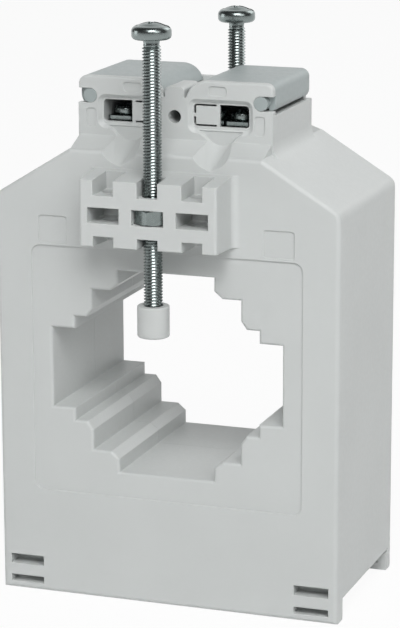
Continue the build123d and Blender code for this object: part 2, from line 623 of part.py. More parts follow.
# Coil: a wound shell with a ring core in its tray and lid
coil_mid_y = sum(COIL_Y) / 2
opening = math.radians(COIL_OPENING / 2)
coil_plane = Plane(
    origin=(0, 0, WINDOW_Z),
    x_dir=(math.sin(opening), 0, -math.cos(opening)),
    z_dir=(math.cos(opening), 0, math.sin(opening)),
)
tray_in = COIL_IN_R + COIL_WALL + NEST_GAP
tray_out = COIL_OUT_R - COIL_WALL - NEST_GAP
tray_y = (COIL_Y[0] + COIL_WALL + NEST_GAP, COIL_Y[1] - COIL_WALL - 2 * NEST_GAP - LID_THICK)
with BuildPart() as winding:
    with BuildSketch(coil_plane):
        with Locations(((COIL_IN_R + COIL_OUT_R) / 2, coil_mid_y)):
            Rectangle(COIL_OUT_R - COIL_IN_R, COIL_Y[1] - COIL_Y[0])
            Rectangle(
                COIL_OUT_R - COIL_IN_R - 2 * COIL_WALL,
                COIL_Y[1] - COIL_Y[0] - 2 * COIL_WALL,
                mode=Mode.SUBTRACT,
            )
    revolve(axis=Axis((0, 0, WINDOW_Z), (0, 1, 0)), revolution_arc=360 - COIL_OPENING)

winding.part.label = "winding"
export_step(winding.part, "parts/winding.step")

with BuildPart() as core_tray:
    with BuildSketch(at_y(tray_y[1])):
        with Locations((0, WINDOW_Z)):
            Circle(tray_out)
            Circle(tray_in, mode=Mode.SUBTRACT)
    extrude(amount=tray_y[1] - tray_y[0])
    with BuildSketch(at_y(tray_y[1])):
        with Locations((0, WINDOW_Z)):
            Circle(tray_out - TRAY_WALL)
            Circle(tray_in + TRAY_WALL, mode=Mode.SUBTRACT)
    extrude(amount=tray_y[1] - tray_y[0] - TRAY_WALL, mode=Mode.SUBTRACT)

core_tray.part.label = "core_tray"
export_step(core_tray.part, "parts/core_tray.step")

with BuildPart() as core_lid:
    with BuildSketch(at_y(tray_y[1] + NEST_GAP + LID_THICK)):
        with Locations((0, WINDOW_Z)):
            Circle(tray_out)
            Circle(tray_in, mode=Mode.SUBTRACT)
    extrude(amount=LID_THICK)

core_lid.part.label = "core_lid"
export_step(core_lid.part, "parts/core_lid.step")

with BuildPart() as core_ring:
    with BuildSketch(at_y(tray_y[1] - NEST_GAP)):
        with Locations((0, WINDOW_Z)):
            Circle(tray_out - TRAY_WALL - NEST_GAP)
            Circle(tray_in + TRAY_WALL + NEST_GAP, mode=Mode.SUBTRACT)
    extrude(amount=tray_y[1] - tray_y[0] - TRAY_WALL - 2 * NEST_GAP)

core_ring.part.label = "core_ring"
export_step(core_ring.part, "parts/core_ring.step")

# Leads from the coil up to the two terminal bars
with BuildPart() as lead_2:
    foot_z = WINDOW_Z + COIL_OUT_R + NEST_GAP
    with BuildLine() as lead_path:
        FilletPolyline(
            (LEAD_X[0], LEAD_Y, foot_z),
            (LEAD_X[0], LEAD_Y, foot_z + 4),
            (LEAD_X[1], LEAD_Y, TOP_Z - 6),
            (LEAD_X[1], LEAD_Y, CHAMBER_FLOOR_Z),
            radius=1.5,
        )
    with BuildSketch(Plane.XY.offset(foot_z)):
        with Locations((LEAD_X[0], LEAD_Y)):
            Circle(LEAD_R)
    sweep(path=lead_path.line)

lead_2.part.label = "lead_2"
export_step(lead_2.part, "parts/lead_2.step")

with BuildPart() as lead_1:
    mirror(lead_2.part, about=Plane.YZ)

lead_1.part.label = "lead_1"
export_step(lead_1.part, "parts/lead_1.step")

# Terminal bars
with BuildPart() as terminal_bar_right:
    block(BAR_X, BAR_Y, (BAR_Z, BAR_Z + BAR_THICK))
    chamfer(terminal_bar_right.edges().filter_by(Axis.Z), 0.5)
    for x in CLAMP_X:
        upright(x, CLAMP_Y, BAR_Z - 1, CLAMP_R + THREAD_GAP, BAR_THICK + 2, Mode.SUBTRACT)

terminal_bar_right.part.label = "terminal_bar_right"
export_step(terminal_bar_right.part, "parts/terminal_bar_right.step")

with BuildPart() as terminal_bar_left:
    mirror(terminal_bar_right.part, about=Plane.YZ)

terminal_bar_left.part.label = "terminal_bar_left"
export_step(terminal_bar_left.part, "parts/terminal_bar_left.step")

# Four clamp screws with their clamping plates, numbered from left to right
clamp_positions = (-CLAMP_X[1], -CLAMP_X[0], CLAMP_X[0], CLAMP_X[1])
clamp_head_z = CLAMP_Z + CLAMP_THICK + NEST_GAP
for number, clamp_x in enumerate(clamp_positions, start=1):
    with BuildPart() as clamp_plate:
        plate_x = (clamp_x - CLAMP_WIDE / 2, clamp_x + CLAMP_WIDE / 2)
        plate_span = (CLAMP_Y - CLAMP_LONG / 2, CLAMP_Y + CLAMP_LONG / 2)
        block(plate_x, plate_span, (CLAMP_Z, CLAMP_Z + CLAMP_THICK))
        chamfer(clamp_plate.edges().filter_by(Axis.Z), 0.6)
        upright(clamp_x, CLAMP_Y, CLAMP_Z - 1, CLAMP_R + THREAD_GAP, CLAMP_THICK + 2, Mode.SUBTRACT)
    clamp_plate.part.label = f"clamp_plate_{number}"
    export_step(clamp_plate.part, f"parts/clamp_plate_{number}.step")

    with BuildPart() as clamp_screw:
        upright(clamp_x, CLAMP_Y, CLAMP_TIP_Z, CLAMP_R, clamp_head_z - CLAMP_TIP_Z)
        upright(clamp_x, CLAMP_Y, clamp_head_z, CLAMP_HEAD_R, CLAMP_HEAD_T)
        fillet(clamp_screw.faces().sort_by(Axis.Z)[-1].edges(), 1.1)
        head_top = clamp_head_z + CLAMP_HEAD_T
        recess_z = (head_top - 1.3, head_top + 1)
        block((clamp_x - 4, clamp_x + 4), (CLAMP_Y - 0.5, CLAMP_Y + 0.5), recess_z, Mode.SUBTRACT)
        block((clamp_x - 0.5, clamp_x + 0.5), (CLAMP_Y - 1.7, CLAMP_Y + 1.7), recess_z, Mode.SUBTRACT)
        chamfer(clamp_screw.faces().sort_by(Axis.Z)[0].edges(), 0.5)
    clamp_screw.part.label = f"clamp_screw_{number}"
    export_step(clamp_screw.part, f"parts/clamp_screw_{number}.step")

# Terminal covers with their trunnions, each between the front and back walls of the head
cover_front_y = HEAD_FRONT_Y + HEAD_FRONT_WALL + SIDE_GAP
with BuildPart() as terminal_cover_right:
    with BuildSketch(at_y(COVER_BACK_Y)):
        cover_face(LOBE_Z)
    extrude(amount=COVER_BACK_Y - cover_front_y)

    # Hollow underside
    hollow_y = (cover_front_y + COVER_WALL, COVER_BACK_Y - COVER_WALL)
    with BuildSketch(at_y(hollow_y[1])) as hollow:
        with BuildLine():
            Polyline(
                (COVER_IN_X + COVER_WALL, LOBE_Z - 1),
                (HEAD_HALF - COVER_WALL, LOBE_Z - 1),
                (HEAD_HALF - COVER_WALL, COVER_TOP_Z - COVER_WALL),
                (COVER_IN_X + COVER_WALL + 3.2, COVER_TOP_Z - COVER_WALL),
                (COVER_IN_X + COVER_WALL, COVER_TOP_Z - COVER_WALL - 2.2),
                close=True,
            )
        make_face()
    extrude(amount=hollow_y[1] - hollow_y[0], mode=Mode.SUBTRACT)

    # Outer skirt that swings in the trough, then ears and trunnions
    with BuildSketch(at_y(COVER_BACK_Y)):
        drop = PIVOT_Z - SKIRT_TIP_Z
        half_turn = math.asin(drop / SKIRT_SWEEP_R) / 2
        with BuildLine():
            skirt_tip = (PIVOT_X + math.sqrt(SKIRT_SWEEP_R**2 - drop**2), SKIRT_TIP_Z)
            Line((CHEEK_IN + 0.2, SKIRT_TIP_Z), skirt_tip)
            ThreePointArc(
                skirt_tip,
                (
                    PIVOT_X + SKIRT_SWEEP_R * math.cos(half_turn),
                    PIVOT_Z - SKIRT_SWEEP_R * math.sin(half_turn),
                ),
                (PIVOT_X + SKIRT_SWEEP_R, PIVOT_Z),
            )
            Line((PIVOT_X + SKIRT_SWEEP_R, PIVOT_Z), (HEAD_HALF, LOBE_STEP_Z + 0.5))
            Line((HEAD_HALF, LOBE_STEP_Z + 0.5), (CHEEK_IN + 0.2, LOBE_STEP_Z + 0.5))
            Line((CHEEK_IN + 0.2, LOBE_STEP_Z + 0.5), (CHEEK_IN + 0.2, SKIRT_TIP_Z))
        make_face()
    extrude(amount=COVER_BACK_Y - cover_front_y)
    ear_y = (cover_front_y, hollow_y[0])
    block(EAR_X, ear_y, (PIVOT_Z, EAR_TOP_Z))
    along_y(PIVOT_X, PIVOT_Z, TRUNNION_R, (HEAD_FRONT_Y, ear_y[1]))
    block(EAR_X, (hollow_y[1], COVER_BACK_Y), (PIVOT_Z, EAR_TOP_Z))
    along_y(PIVOT_X, PIVOT_Z, TRUNNION_R, (hollow_y[1], HEAD_BACK_Y))

terminal_cover_right.part.label = "terminal_cover_right"
export_step(terminal_cover_right.part, "parts/terminal_cover_right.step")

with BuildPart() as terminal_cover_left:
    mirror(terminal_cover_right.part, about=Plane.YZ)

terminal_cover_left.part.label = "terminal_cover_left"
export_step(terminal_cover_left.part, "parts/terminal_cover_left.step")

# Busbar screws, nuts and insulating caps, front and rear
for place, axis_y, head_z in (("front", FRONT_AXIS_Y, FRONT_HEAD_Z), ("rear", REAR_AXIS_Y, REAR_HEAD_Z)):
    tip_z = head_z - SCREW_LONG
    with BuildPart() as busbar_screw:
        with BuildSketch(Plane.XZ.offset(-axis_y)):
            with BuildLine():
                dome = FilletPolyline(
                    (0, tip_z),
                    (SCREW_R, tip_z),
                    (SCREW_R, head_z - NECK_LONG),
                    (NECK_R, head_z - NECK_LONG),
                    (NECK_R, head_z),
                    (HEAD_R, head_z),
                    (HEAD_R, head_z + HEAD_RIM),
                    (HEAD_R - 1.6, head_z + HEAD_TALL),
                    (0, head_z + HEAD_TALL),
                    radius=0.2,
                )
                Line(dome @ 1, dome @ 0)
            make_face()
        revolve(axis=Axis((0, axis_y, 0), (0, 0, 1)))
        top_z = head_z + HEAD_TALL
        block((-0.6, 0.6), (axis_y - 6, axis_y + 6), (top_z - 1.4, top_z + 1), Mode.SUBTRACT)
        block((-2.6, 2.6), (axis_y - 0.6, axis_y + 0.6), (top_z - 1.6, top_z + 1), Mode.SUBTRACT)
    busbar_screw.part.label = f"busbar_screw_{place}"
    export_step(busbar_screw.part, f"parts/busbar_screw_{place}.step")

    with BuildPart() as busbar_nut:
        with BuildSketch(Plane.XY.offset(NUT_Z)):
            with Locations((0, axis_y)):
                RegularPolygon(NUT_FLATS / 2, 6, major_radius=False, rotation=30)
        extrude(amount=NUT_THICK)
        with BuildSketch(Plane.XZ.offset(-axis_y)):
            with BuildLine():
                corner = NUT_FLATS / 2 / math.cos(math.pi / 6)
                Polyline(
                    (0, NUT_Z),
                    (corner - 0.7, NUT_Z),
                    (corner, NUT_Z + 0.4),
                    (corner, NUT_Z + NUT_THICK - 0.4),
                    (corner - 0.7, NUT_Z + NUT_THICK),
                    (0, NUT_Z + NUT_THICK),
                    close=True,
                )
            make_face()
        revolve(axis=Axis((0, axis_y, 0), (0, 0, 1)), mode=Mode.INTERSECT)
        upright(0, axis_y, NUT_Z - 1, SCREW_R + THREAD_GAP, NUT_THICK + 2, Mode.SUBTRACT)
    busbar_nut.part.label = f"busbar_nut_{place}"
    export_step(busbar_nut.part, f"parts/busbar_nut_{place}.step")

    with BuildPart() as busbar_cap:
        cap_z = tip_z - CAP_END - NEST_GAP
        upright(0, axis_y, cap_z, CAP_R, CAP_TALL)
        fillet(busbar_cap.faces().sort_by(Axis.Z)[0].edges(), 0.6)
        fillet(busbar_cap.faces().sort_by(Axis.Z)[-1].edges(), 0.3)
        upright(0, axis_y, cap_z + CAP_END, SCREW_R + THREAD_GAP, CAP_TALL, Mode.SUBTRACT)
    busbar_cap.part.label = f"busbar_cap_{place}"
    export_step(busbar_cap.part, f"parts/busbar_cap_{place}.step")
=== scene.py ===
"""Dresses a busbar current transformer: moulded finishes, real screw threads, a studio and a camera."""

import logging
import math
from dataclasses import dataclass, field
from enum import Enum

import bmesh
import bpy
from mathutils import Matrix, Vector


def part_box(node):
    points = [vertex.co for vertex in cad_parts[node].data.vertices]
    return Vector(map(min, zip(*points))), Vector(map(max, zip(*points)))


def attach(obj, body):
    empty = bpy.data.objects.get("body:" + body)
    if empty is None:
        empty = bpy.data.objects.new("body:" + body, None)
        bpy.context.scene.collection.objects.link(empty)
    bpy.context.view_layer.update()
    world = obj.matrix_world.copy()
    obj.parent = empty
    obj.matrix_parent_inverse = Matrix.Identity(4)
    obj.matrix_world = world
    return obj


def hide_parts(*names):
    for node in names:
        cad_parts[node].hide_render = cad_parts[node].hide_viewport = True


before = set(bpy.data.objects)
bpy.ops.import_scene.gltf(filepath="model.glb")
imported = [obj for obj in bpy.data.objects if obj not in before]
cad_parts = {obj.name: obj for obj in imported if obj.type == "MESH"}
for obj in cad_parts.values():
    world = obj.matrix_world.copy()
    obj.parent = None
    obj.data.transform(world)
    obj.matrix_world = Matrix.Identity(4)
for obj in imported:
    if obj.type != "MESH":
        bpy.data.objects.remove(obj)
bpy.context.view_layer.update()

MM = 0.001
TURN = 2 * math.pi
IMAGE_SIZE = (400, 628)
SAME_POINT = 2e-7
ON_LEVEL = 1e-7
ON_AXIS = 1e-6
NOISE_RANGE = (0.3, 0.7)
RUNOUT_TURNS = 1.2
SPARE_TURNS = 2
LOW_ROUND_STEPS = 5
SHOULDER_STEPS = 8
CROWN_STEPS = 6
LOG = logging.getLogger("current_transformer")


class Place(Enum):
    """The two long screws, one on each side of the case."""

    FRONT = "front"
    REAR = "rear"


class Side(Enum):
    """The two terminals, each with a bar and a hinged cover."""

    LEFT = "left"
    RIGHT = "right"


@dataclass(frozen=True)
class ThreadSize:
    """Sizes of one screw thread in metres, and its shape as shares of one pitch."""

    crest_radius: float
    root_radius: float
    pitch: float
    segments: int = 48
    root_end: float = 0.25
    crest_start: float = 0.5625
    crest_end: float = 0.6875
    tip_share: float = 0.86

    def profile(self) -> list[tuple[float, float]]:
        """Gives one pitch of the thread.

        Returns:
            Pairs of height, as a share of the pitch, and radius in metres.
        """
        return [
            (0.0, self.root_radius),
            (self.root_end, self.root_radius),
            (self.crest_start, self.crest_radius),
            (self.crest_end, self.crest_radius),
        ]

    def tip_radius(self) -> float:
        """Gives the radius of the chamfered tip.

        Returns:
            The radius in metres.
        """
        return self.root_radius * self.tip_share


class NodeGraph:
    """Shader nodes of one material, added and linked in short calls."""

    def __init__(self, name: str) -> None:
        """Starts an empty node material.

        Args:
            name: The material's name.
        """
        self.material = bpy.data.materials.new(name)
        self.material.use_nodes = True
        self.nodes = self.material.node_tree.nodes
        self.links = self.material.node_tree.links
        self.nodes.clear()

    def add(self, kind: str, **inputs: object) -> bpy.types.Node:
        """Adds a node and sets its inputs.

        Args:
            kind: The node's type name.
            **inputs: Input values by name, with underscores for spaces.

        Returns:
            The new node.
        """
        node = self.nodes.new(kind)
        for name, value in inputs.items():
            node.inputs[name.replace("_", " ")].default_value = value
        return node

    def link(self, source: bpy.types.NodeSocket, target: bpy.types.NodeSocket) -> None:
        """Links an output socket to an input socket.

        Args:
            source: The output socket.
            target: The input socket.
        """
        self.links.new(source, target)

    def noise(self, where: bpy.types.NodeSocket, scale: float, detail: float = 2.0) -> bpy.types.NodeSocket:
        """Adds a noise pattern.

        Args:
            where: Coordinates that the pattern follows.
            scale: Cells per metre.
            detail: Octaves of the pattern.

        Returns:
            The pattern's grey value.
        """
        node = self.add("ShaderNodeTexNoise", Scale=scale, Detail=detail)
        self.link(where, node.inputs["Vector"])
        return node.outputs["Fac"]

    def spread(self, value: bpy.types.NodeSocket, low: float, high: float) -> bpy.types.NodeSocket:
        """Maps a grey value of a noise pattern onto a range.

        Args:
            value: The grey value, mostly within NOISE_RANGE.
            low: Result at the range's start.
            high: Result at the range's end.

        Returns:
            The mapped value.
        """
        node = self.nodes.new("ShaderNodeMapRange")
        node.inputs["From Min"].default_value = NOISE_RANGE[0]
        node.inputs["From Max"].default_value = NOISE_RANGE[1]
        node.inputs["To Min"].default_value = low
        node.inputs["To Max"].default_value = high
        self.link(value, node.inputs["Value"])
        return node.outputs["Result"]

    def tint(self, value: bpy.types.NodeSocket, first: tuple, second: tuple) -> bpy.types.NodeSocket:
        """Mixes two linear colours by a value.

        Args:
            value: Share of the second colour.
            first: Linear red, green and blue.
            second: Linear red, green and blue.

        Returns:
            The mixed colour.
        """
        node = self.nodes.new("ShaderNodeMix")
        node.data_type = "RGBA"
        node.inputs["A"].default_value = (*first, 1)
        node.inputs["B"].default_value = (*second, 1)
        self.link(value, node.inputs["Factor"])
        return node.outputs["Result"]

    def finish(self, shader: bpy.types.Node) -> bpy.types.Material:
        """Sends a shader to the material's output.

        Args:
            shader: The surface shader.

        Returns:
            The finished material.
        """
        output = self.nodes.new("ShaderNodeOutputMaterial")
        self.link(shader.outputs[0], output.inputs["Surface"])
        return self.material


@dataclass(frozen=True)
class MouldedPlastic:
    """Opaque moulded plastic with a fine eroded texture, softened edge shading and a painted highlight that
    lightens its edges.
    """

    name: str
    colour: tuple[float, float, float]
    edge_highlight_colour: tuple[float, float, float]
    roughness: tuple[float, float] = (0.40, 0.52)
    grain_per_metre: float = 4200.0
    grain_height: float = 0.012 * MM
    grain_strength: float = 0.35
    edge_radius: float = 0.28 * MM
    edge_likeness: tuple[float, float] = (0.995, 0.90)
    edge_highlight_share: float = 0.6
    flow_per_metre: float = 35.0
    flow_shade: float = 0.965
    gloss_per_metre: float = 900.0
    bevel_samples: int = 6

    def material(self) -> bpy.types.Material:
        """Builds the node material.

        Returns:
            The material.
        """
        graph = NodeGraph(self.name)
        where = graph.nodes.new("ShaderNodeTexCoord").outputs["Object"]
        soft_normal = graph.nodes.new("ShaderNodeBevel")
        soft_normal.samples = self.bevel_samples
        soft_normal.inputs["Radius"].default_value = self.edge_radius
        grain = graph.noise(where, self.grain_per_metre, 3)
        bump = graph.add("ShaderNodeBump", Strength=self.grain_strength, Distance=self.grain_height)
        graph.link(grain, bump.inputs["Height"])
        graph.link(soft_normal.outputs["Normal"], bump.inputs["Normal"])

        flat_normal = graph.nodes.new("ShaderNodeNewGeometry")
        likeness = graph.nodes.new("ShaderNodeVectorMath")
        likeness.operation = "DOT_PRODUCT"
        graph.link(soft_normal.outputs["Normal"], likeness.inputs[0])
        graph.link(flat_normal.outputs["True Normal"], likeness.inputs[1])
        edge = graph.nodes.new("ShaderNodeMapRange")
        edge.inputs["From Min"].default_value = self.edge_likeness[0]
        edge.inputs["From Max"].default_value = self.edge_likeness[1]
        edge.inputs["To Max"].default_value = self.edge_highlight_share
        graph.link(likeness.outputs["Value"], edge.inputs["Value"])

        flow = graph.spread(graph.noise(where, self.flow_per_metre, 3), 0.0, 1.0)
        darker = tuple(channel * self.flow_shade for channel in self.colour)
        body = graph.tint(flow, self.colour, darker)
        # Painted highlight: the colour turns lighter along the edges, where the bevelled normal leaves the
        # true normal.
        painted_edge_highlight = graph.nodes.new("ShaderNodeMix")
        painted_edge_highlight.data_type = "RGBA"
        graph.link(edge.outputs["Result"], painted_edge_highlight.inputs["Factor"])
        graph.link(body, painted_edge_highlight.inputs["A"])
        painted_edge_highlight.inputs["B"].default_value = (*self.edge_highlight_colour, 1)

        shader = graph.add("ShaderNodeBsdfPrincipled", IOR=1.5)
        graph.link(painted_edge_highlight.outputs["Result"], shader.inputs["Base Color"])
        gloss = graph.spread(graph.noise(where, self.gloss_per_metre, 2), *self.roughness)
        graph.link(gloss, shader.inputs["Roughness"])
        graph.link(bump.outputs["Normal"], shader.inputs["Normal"])
        return graph.finish(shader)


@dataclass(frozen=True)
class PlatedMetal:
    """Plated metal with faint blotches and drawing marks."""

    name: str
    colour: tuple[float, float, float]
    shade: tuple[float, float, float]
    roughness: tuple[float, float] = (0.21, 0.31)
    mark_height: float = 0.003 * MM
    mark_strength: float = 0.25
    mark_stretch: float = 0.15
    marks_per_metre: float = 3000.0
    blotches_per_metre: float = 260.0
    gloss_per_metre: float = 1100.0

    def material(self) -> bpy.types.Material:
        """Builds the node material.

        Returns:
            The material.
        """
        graph = NodeGraph(self.name)
        where = graph.nodes.new("ShaderNodeTexCoord").outputs["Object"]
        stretch = graph.nodes.new("ShaderNodeMapping")
        stretch.inputs["Scale"].default_value = (1, 1, self.mark_stretch)
        graph.link(where, stretch.inputs["Vector"])
        marks = graph.noise(stretch.outputs["Vector"], self.marks_per_metre, 3)
        bump = graph.add("ShaderNodeBump", Strength=self.mark_strength, Distance=self.mark_height)
        graph.link(marks, bump.inputs["Height"])
        blotch = graph.spread(graph.noise(where, self.blotches_per_metre, 3), 0.0, 1.0)
        shader = graph.add("ShaderNodeBsdfPrincipled", Metallic=1.0)
        graph.link(graph.tint(blotch, self.colour, self.shade), shader.inputs["Base Color"])
        gloss = graph.spread(graph.noise(where, self.gloss_per_metre, 2), *self.roughness)
        graph.link(gloss, shader.inputs["Roughness"])
        graph.link(bump.outputs["Normal"], shader.inputs["Normal"])
        return graph.finish(shader)


@dataclass(frozen=True)
class EnamelWire:
    """Rows of enamelled copper wire round a ring that stands across the Y axis."""

    name: str
    colour: tuple[float, float, float]
    groove_shade: tuple[float, float, float]
    turns: float = 160.0
    centre_height: float = 63.3 * MM
    wire_height: float = 0.3 * MM
    wire_strength: float = 0.8
    metallic: float = 0.9
    roughness: float = 0.35

    def material(self) -> bpy.types.Material:
        """Builds the node material.

        Returns:
            The material.
        """
        graph = NodeGraph(self.name)
        where = graph.nodes.new("ShaderNodeTexCoord").outputs["Object"]
        moved = graph.nodes.new("ShaderNodeMapping")
        moved.inputs["Location"].default_value = (0, 0, -self.centre_height)
        graph.link(where, moved.inputs["Vector"])
        parts = graph.nodes.new("ShaderNodeSeparateXYZ")
        graph.link(moved.outputs["Vector"], parts.inputs["Vector"])
        angle = graph.nodes.new("ShaderNodeMath")
        angle.operation = "ARCTAN2"
        graph.link(parts.outputs["Z"], angle.inputs[0])
        graph.link(parts.outputs["X"], angle.inputs[1])
        count = graph.nodes.new("ShaderNodeMath")
        count.operation = "MULTIPLY"
        count.inputs[1].default_value = self.turns
        graph.link(angle.outputs["Value"], count.inputs[0])
        wave = graph.nodes.new("ShaderNodeMath")
        wave.operation = "COSINE"
        graph.link(count.outputs["Value"], wave.inputs[0])
        height = graph.nodes.new("ShaderNodeMapRange")
        height.inputs["From Min"].default_value = -1.0
        graph.link(wave.outputs["Value"], height.inputs["Value"])
        bump = graph.add("ShaderNodeBump", Strength=self.wire_strength, Distance=self.wire_height)
        graph.link(height.outputs["Result"], bump.inputs["Height"])
        shader = graph.add("ShaderNodeBsdfPrincipled", Metallic=self.metallic, Roughness=self.roughness)
        # Painted shade: the colour darkens into the grooves between the wire's turns.
        colour = graph.tint(height.outputs["Result"], self.groove_shade, self.colour)
        graph.link(colour, shader.inputs["Base Color"])
        graph.link(bump.outputs["Normal"], shader.inputs["Normal"])
        return graph.finish(shader)


CASE_GREY = MouldedPlastic("case_grey", (0.545, 0.562, 0.556), (0.64, 0.66, 0.652))
COVER_GREY = MouldedPlastic("cover_grey", (0.325, 0.365, 0.365), (0.41, 0.455, 0.45), (0.36, 0.46))
CAP_WHITE = MouldedPlastic("cap_white", (0.525, 0.54, 0.534), (0.62, 0.635, 0.63), (0.38, 0.48))
TRAY_BLACK = MouldedPlastic("tray_black", (0.030, 0.031, 0.033), (0.07, 0.07, 0.075))
# Painted shade: the base colour is set far darker than zinc plating, so the reflections on screws and nuts
# come out dark.
ZINC_STEEL = PlatedMetal("zinc_steel", (0.27, 0.305, 0.30), (0.235, 0.27, 0.265))
TERMINAL_METAL = PlatedMetal("terminal_brass", (0.20, 0.205, 0.19), (0.16, 0.165, 0.15), (0.26, 0.40))
CORE_STEEL = PlatedMetal("core_steel", (0.36, 0.37, 0.38), (0.28, 0.29, 0.30), (0.3, 0.5))
COPPER_WIRE = EnamelWire("copper_wire", (0.80, 0.36, 0.16), (0.25, 0.07, 0.03))


@dataclass
class Finishes:
    """The materials of every slot, built once."""

    by_slot: dict[str, bpy.types.Material] = field(default_factory=dict)

    def build(self) -> None:
        """Builds each slot's material."""
        plastics = (CASE_GREY, COVER_GREY, CAP_WHITE, TRAY_BLACK)
        metals = (ZINC_STEEL, TERMINAL_METAL, CORE_STEEL, COPPER_WIRE)
        for finish in (*plastics, *metals):
            self.by_slot[finish.name] = finish.material()
            LOG.info("finish %s built", finish.name)

    def dress(self, piece: bpy.types.Object, slot: str) -> None:
        """Gives a piece one finish.

        Args:
            piece: A new piece or a CAD node.
            slot: The finish's slot name.
        """
        if not piece.material_slots:
            piece.data.materials.append(None)
        for place in piece.material_slots:
            place.material = self.by_slot[slot]


def ring(mesh: bmesh.types.BMesh, radius: float, height: float, segments: int) -> list[bmesh.types.BMVert]:
    """Adds the points of one level circle.

    Args:
        mesh: Mesh that gets the points.
        radius: Radius in metres; 0 gives one point.
        height: Height of the circle.
        segments: Number of points round the circle.

    Returns:
        The new points.
    """
    if radius == 0:
        return [mesh.verts.new((0, 0, height))]
    turns = [TURN * step / segments for step in range(segments)]
    return [mesh.verts.new((radius * math.cos(turn), radius * math.sin(turn), height)) for turn in turns]


def lathe(mesh: bmesh.types.BMesh, outline: list[tuple[float, float]], segments: int) -> None:
    """Turns an outline round the Z axis.

    Args:
        mesh: Mesh that gets the faces.
        outline: Radius and height of each circle, from the bottom up.
        segments: Number of faces round each circle.
    """
    below = None
    for radius, height in outline:
        above = ring(mesh, radius, height, segments)
        if below is not None:
            for step in range(segments):
                after = (step + 1) % segments
                corners = []
                for point in (
                    below[step % len(below)],
                    below[after % len(below)],
                    above[after % len(above)],
                    above[step % len(above)],
                ):
                    if point not in corners:
                        corners.append(point)
                mesh.faces.new(corners)
        below = above


def wind_thread(
    mesh: bmesh.types.BMesh,
    thread: ThreadSize,
    bottom: float,
    top: float,
) -> None:
    """Adds the surface of an outside thread whose rows follow the helix.

    Args:
        mesh: Mesh that gets the faces.
        thread: Sizes of the thread.
        bottom: Height of the tip.
        top: Height where the thread has run out.
    """
    profile = thread.profile()
    turns = math.ceil((top - bottom) / thread.pitch) + SPARE_TURNS
    runout = RUNOUT_TURNS * thread.pitch

    def point(row: int, step: int) -> bmesh.types.BMVert:
        """Adds the point of one row at one step round the axis.

        Args:
            row: Number of the row, from the bottom up.
            step: Number of the step round the axis.

        Returns:
            The new point.
        """
        share, radius = profile[row % len(profile)]
        height = bottom + (row // len(profile) + share + step / thread.segments - 1) * thread.pitch
        height = min(max(height, bottom), top)
        kept = min(1.0, (top - height) / runout)
        radius = thread.root_radius + (radius - thread.root_radius) * kept
        radius = min(radius, thread.tip_radius() + height - bottom)
        turn = TURN * step / thread.segments
        return mesh.verts.new((radius * math.cos(turn), radius * math.sin(turn), height))

    rows = [[point(row, step) for step in range(thread.segments)] for row in range(turns * len(profile))]
    last = len(rows) - 1
    for row in range(last):
        for step in range(thread.segments):
            if step + 1 < thread.segments:
                beside = (rows[row][step + 1], rows[row + 1][step + 1])
            else:
                beside = (rows[min(row + len(profile), last)][0], rows[min(row + 1 + len(profile), last)][0])
            if beside[0] is not beside[1]:
                mesh.faces.new((rows[row][step], beside[0], beside[1], rows[row + 1][step]))


def clean(mesh: bmesh.types.BMesh) -> None:
    """Joins points that lie on each other and turns every face outward.

    Args:
        mesh: The mesh.
    """
    bmesh.ops.remove_doubles(mesh, verts=mesh.verts, dist=SAME_POINT)
    bmesh.ops.dissolve_degenerate(mesh, edges=mesh.edges, dist=SAME_POINT)
    bmesh.ops.recalc_face_normals(mesh, faces=mesh.faces)


def as_object(
    mesh: bmesh.types.BMesh,
    name: str,
    place: tuple[float, float, float],
    sharp: float = 35.0,
) -> bpy.types.Object:
    """Makes an object of a mesh and puts it in the scene.

    Args:
        mesh: The mesh, which is freed.
        name: The object's name.
        place: Where its origin goes.
        sharp: Edges above this angle, in degrees, stay sharp.

    Returns:
        The new object.
    """
    clean(mesh)
    data = bpy.data.meshes.new(name)
    mesh.to_mesh(data)
    mesh.free()
    data.shade_smooth()
    data.set_sharp_from_angle(angle=math.radians(sharp))
    piece = bpy.data.objects.new(name, data)
    piece.location = place
    bpy.context.scene.collection.objects.link(piece)
    bpy.context.view_layer.update()
    return piece


def carve(piece: bpy.types.Object, cutter: bpy.types.Object, operation: str = "DIFFERENCE") -> None:
    """Cuts one object with another and removes the cutter.

    Args:
        piece: The object that is cut.
        cutter: The closed object that cuts it.
        operation: DIFFERENCE takes the cutter away, INTERSECT keeps what lies in it.
    """
    cut = piece.modifiers.new("cut", "BOOLEAN")
    cut.operation = operation
    cut.solver = "EXACT"
    cut.object = cutter
    bpy.context.view_layer.update()
    graph = bpy.context.evaluated_depsgraph_get()
    carved = bpy.data.meshes.new_from_object(piece.evaluated_get(graph))
    piece.modifiers.remove(cut)
    old = piece.data
    piece.data = carved
    bpy.data.meshes.remove(old)
    bpy.data.objects.remove(cutter)


def tapered_block(
    mesh: bmesh.types.BMesh,
    half_top: tuple[float, float],
    half_low: tuple[float, float],
    low: float,
    high: float,
) -> None:
    """Adds a closed block on the Z axis that narrows downward.

    Args:
        mesh: Mesh that gets the block.
        half_top: Half its length along X and Y at the top.
        half_low: Half its length along X and Y at the bottom.
        low: Height of the bottom.
        high: Height of the top.
    """
    signs = ((-1, -1), (1, -1), (1, 1), (-1, 1))
    under = [mesh.verts.new((x * half_low[0], y * half_low[1], low)) for x, y in signs]
    over = [mesh.verts.new((x * half_top[0], y * half_top[1], high)) for x, y in signs]
    mesh.faces.new(tuple(reversed(under)))
    mesh.faces.new(tuple(over))
    for step in range(4):
        after = (step + 1) % 4
        mesh.faces.new((under[step], under[after], over[after], over[step]))


